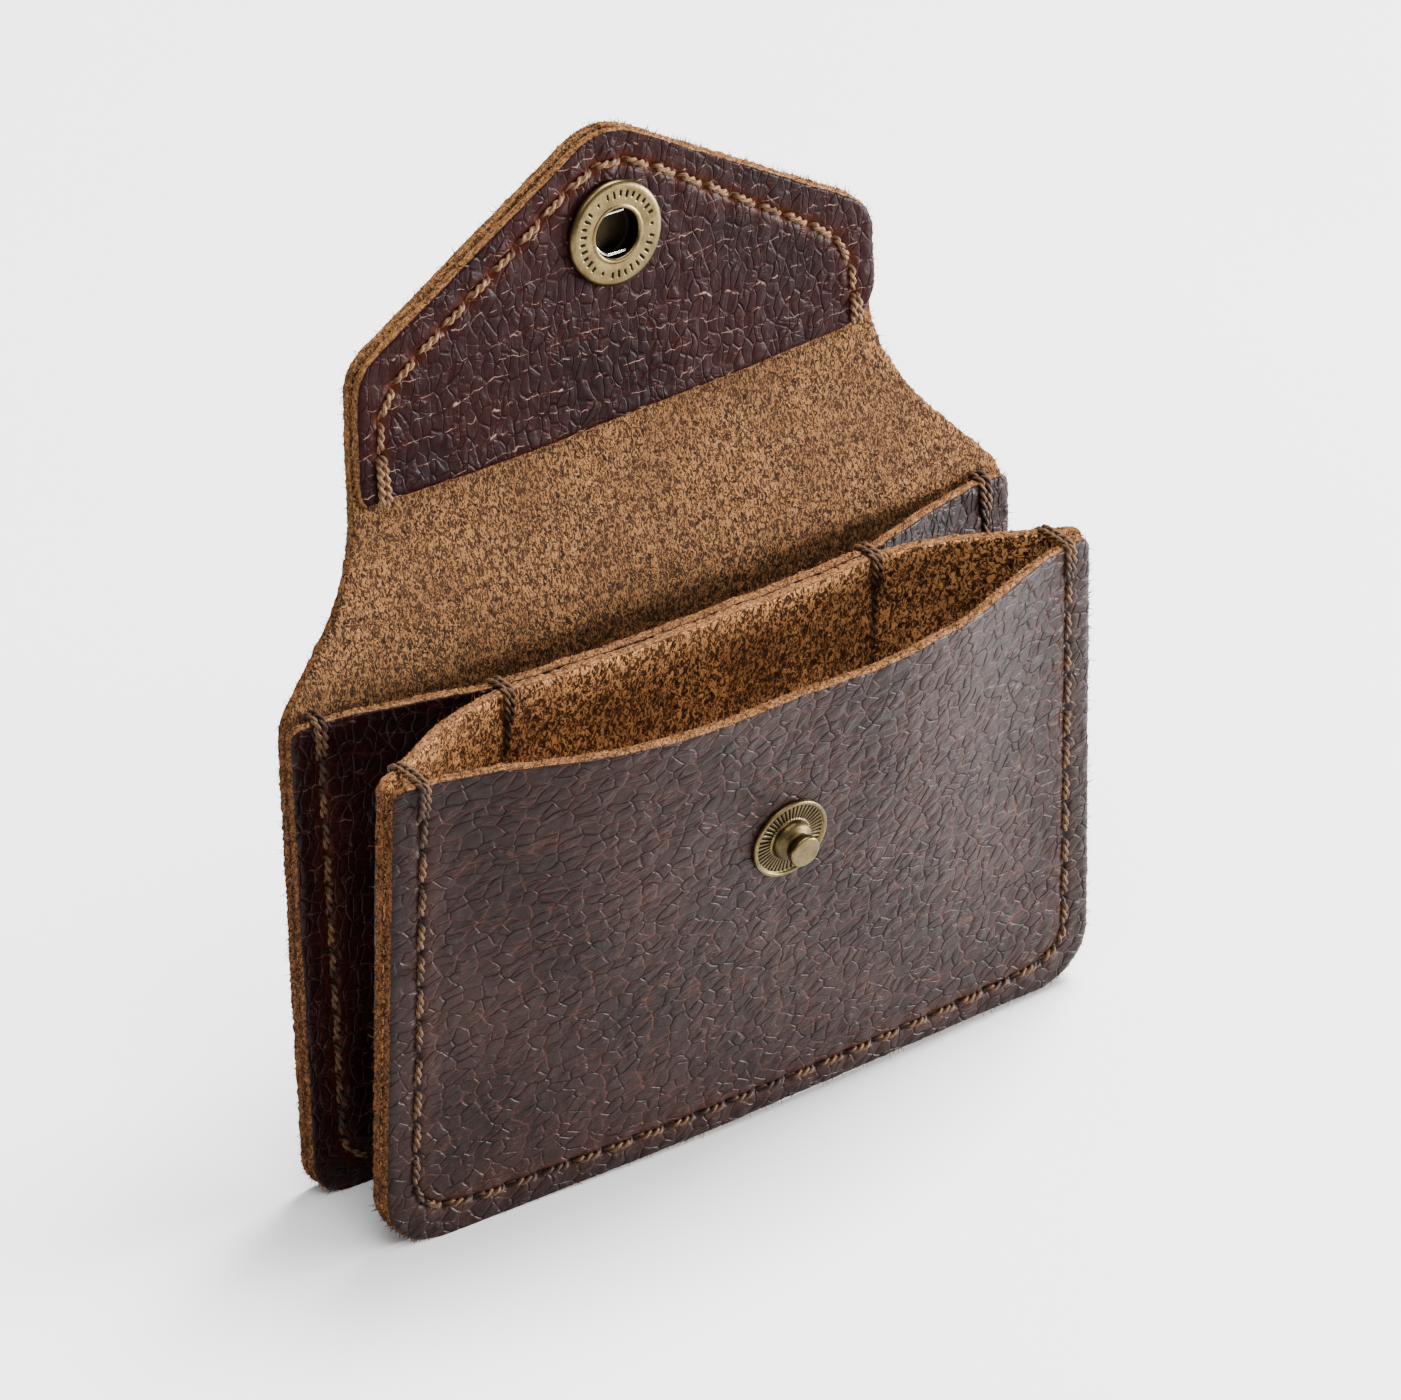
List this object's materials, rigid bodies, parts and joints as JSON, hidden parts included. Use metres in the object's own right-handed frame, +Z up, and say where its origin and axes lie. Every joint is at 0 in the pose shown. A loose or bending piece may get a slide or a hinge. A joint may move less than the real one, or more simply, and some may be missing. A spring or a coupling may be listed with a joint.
{
  "type": "business card case",
  "caption": "Leather card case with a rear pocket, a splayed front pocket joined by a gusset, and a fold-over flap that closes on a metal snap.",
  "frame": {"origin": "middle of the bounding box in plan, on the plane the bottom edges stand on", "axes": "+X to the right across the case, -Y out of the front panel with the snap stud, +Z up towards the open flap"},
  "size_m": [0.107, 0.0436, 0.1233],
  "materials": {
    "grain_leather": "dark brown pebbled grain, satin",
    "flap_leather": "dark red-brown pebbled grain outside, tan suede inside",
    "gusset_leather": "brown suede towards the pocket",
    "thread": "thick twisted thread",
    "antique_brass": "antiqued, worn bright on the rims"
  },
  "bodies": {
    "case": {"back_panel": "grain_leather", "rear_pocket_panel": "grain_leather", "gusset_middle": "gusset_leather", "gusset_wing_left": "gusset_leather", "gusset_wing_right": "gusset_leather", "rear_seam_thread": "thread", "rear_seam_back_thread": "thread", "divider_thread_left": "thread", "divider_thread_right": "thread"},
    "fold_strip": {"fold_strip": "flap_leather"},
    "flap": {"flap_panel": "flap_leather", "flap_facing": "flap_leather", "flap_seam_thread": "thread", "snap_cap": "antique_brass", "snap_socket": "antique_brass", "spring_wire_upper": "antique_brass", "spring_wire_lower": "antique_brass"},
    "front_pocket": {"front_panel": "grain_leather", "front_seam_thread": "thread", "snap_stud": "antique_brass", "stud_post": "antique_brass"}
  },
  "joints": [
    {"name": "rear_fold", "type": "hinge", "parent": "case", "child": "fold_strip", "pos_m": [0, 0.01046, 0.0651], "axis": [1, 0, 0], "range_deg": [0, 106.89]},
    {"name": "front_fold", "type": "hinge", "parent": "fold_strip", "child": "flap", "pos_m": [0, 0.01739, 0.08724], "axis": [1, 0, 0], "range_deg": [0, 82.6]},
    {"name": "pocket_press", "type": "slide", "parent": "case", "child": "front_pocket", "axis": [0, 1, 0], "range_m": [0, 0.0113], "deforming": ["gusset_wing_left", "gusset_wing_right", "gusset_middle"]}
  ],
  "couplings": [
    {"joint": "front_fold", "follows": "rear_fold", "ratio": 0.77272},
    {"joint": "pocket_press", "follows": "rear_fold", "m_per_rad": 0.006057}
  ]
}
